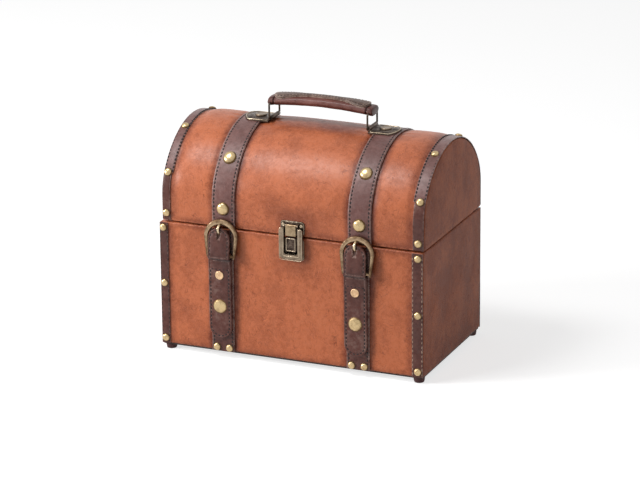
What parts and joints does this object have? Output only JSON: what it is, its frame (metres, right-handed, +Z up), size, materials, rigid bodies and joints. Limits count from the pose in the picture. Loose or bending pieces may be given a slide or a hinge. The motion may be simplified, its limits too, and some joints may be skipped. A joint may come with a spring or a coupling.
{
  "type": "storage trunk",
  "caption": "A small domed storage trunk in tan leather with dark straps, brass nails, buckles, a spring latch, back hinges and a drop handle; the lid opens.",
  "frame": {"origin": "On the floor under the middle of the trunk's overall box: centred in X between the ends and in Y between the buckle tabs in front and the studs at the back, with z = 0 on the feet's undersides.", "axes": "+X runs along the trunk's width, towards the viewer's right when facing the latch; -Y is the front, with the latch and the buckles; +Z is up."},
  "size_m": [0.285, 0.1772, 0.2616],
  "materials": {
    "tan_leather": "smooth",
    "brown_leather": "smooth",
    "handle_leather": "smooth",
    "board": "matte",
    "dark_board": "matte",
    "padding": "matte",
    "lining": "woven",
    "handle_core": "matte",
    "feet_rubber": "matte",
    "old_brass": "brushed",
    "buckle_brass": "brushed",
    "dark_bronze": "brushed",
    "pin_steel": "brushed"
  },
  "bodies": {
    "case": {"base_board": "board", "front_board": "board", "back_board": "board", "left_board": "board", "right_board": "board", "body_leather_front": "tan_leather", "body_leather_back": "tan_leather", "body_leather_ends": "tan_leather", "under_board": "dark_board", "body_lining": "lining", "inner_lip": "dark_board", "feet": "feet_rubber", "corner_strips": "brown_leather", "corner_nails": "old_brass", "body_straps": "brown_leather", "strap_nails": "old_brass", "buckle_strap_left": "brown_leather", "buckle_strap_right": "brown_leather", "strap_rivets": "old_brass", "snap_caps": "old_brass", "lock_case": "dark_bronze", "lock_spring": "pin_steel", "hinge_leaves_body": "dark_bronze", "hinge_pins": "pin_steel", "hinge_screws_body": "old_brass"},
    "lid": {"lid_front_rail": "board", "lid_back_rail": "board", "lid_end_left": "board", "lid_end_right": "board", "lid_skin": "board", "lid_padding": "padding", "lid_leather": "tan_leather", "lid_leather_ends": "tan_leather", "lid_lining": "lining", "lid_strap_left": "brown_leather", "lid_strap_right": "brown_leather", "lid_corner_strips": "brown_leather", "lid_nails": "old_brass", "strap_studs": "old_brass", "arch_strips": "brown_leather", "handle_plates": "dark_bronze", "plate_rivets": "dark_bronze", "latch_plate": "dark_bronze", "latch_nails": "old_brass", "hasp_pin": "dark_bronze", "hinge_leaves_lid": "dark_bronze", "hinge_screws_lid": "old_brass"},
    "hasp_body": {"hasp": "dark_bronze"},
    "button_body": {"lock_button": "dark_bronze"},
    "ring_left_body": {"handle_ring_left": "dark_bronze"},
    "ring_right_body": {"handle_ring_right": "dark_bronze"},
    "handle_body": {"handle_core": "handle_core", "handle_cover": "handle_leather", "handle_overlay": "brown_leather"},
    "buckle_left_body": {"buckle_frame_left": "buckle_brass", "buckle_prong_left": "buckle_brass", "buckle_tab_left": "brown_leather"},
    "buckle_right_body": {"buckle_frame_right": "buckle_brass", "buckle_prong_right": "buckle_brass", "buckle_tab_right": "brown_leather"}
  },
  "joints": [
    {"name": "lid_hinge", "type": "hinge", "parent": "case", "child": "lid", "pos_m": [0, 0.08515, 0.1375], "axis": [-1, 0, 0], "range_deg": [0, 100]},
    {"name": "hasp_hinge", "type": "hinge", "parent": "lid", "child": "hasp_body", "pos_m": [0.003, -0.07865, 0.1489], "axis": [-1, 0, 0], "range_deg": [0, 95]},
    {"name": "button_slide", "type": "slide", "parent": "case", "child": "button_body", "axis": [0, 0, -1], "range_m": [0, 0.0025], "stiffness_N_per_m": 60, "deforming": ["lock_spring"]},
    {"name": "ring_left_hinge", "type": "hinge", "parent": "lid", "child": "ring_left_body", "pos_m": [-0.0503, 0.0035, 0.2351], "axis": [0, 1, 0], "range_deg": [-65, 65]},
    {"name": "ring_right_hinge", "type": "hinge", "parent": "lid", "child": "ring_right_body", "pos_m": [0.0563, 0.0035, 0.2351], "axis": [0, 1, 0], "range_deg": [-65, 65]},
    {"name": "handle_pivot", "type": "hinge", "parent": "ring_left_body", "child": "handle_body", "pos_m": [-0.0503, 0.0035, 0.2506], "axis": [0, 1, 0], "range_deg": [-65, 65]},
    {"name": "buckle_left_hinge", "type": "hinge", "parent": "case", "child": "buckle_left_body", "pos_m": [-0.0735, -0.08255, 0.11], "axis": [1, 0, 0], "range_deg": [0, 30]},
    {"name": "buckle_right_hinge", "type": "hinge", "parent": "case", "child": "buckle_right_body", "pos_m": [0.0735, -0.08255, 0.11], "axis": [1, 0, 0], "range_deg": [0, 30]}
  ],
  "couplings": [
    {"joint": "ring_right_hinge", "follows": "ring_left_hinge", "ratio": 1},
    {"joint": "handle_pivot", "follows": "ring_left_hinge", "ratio": -1}
  ]
}
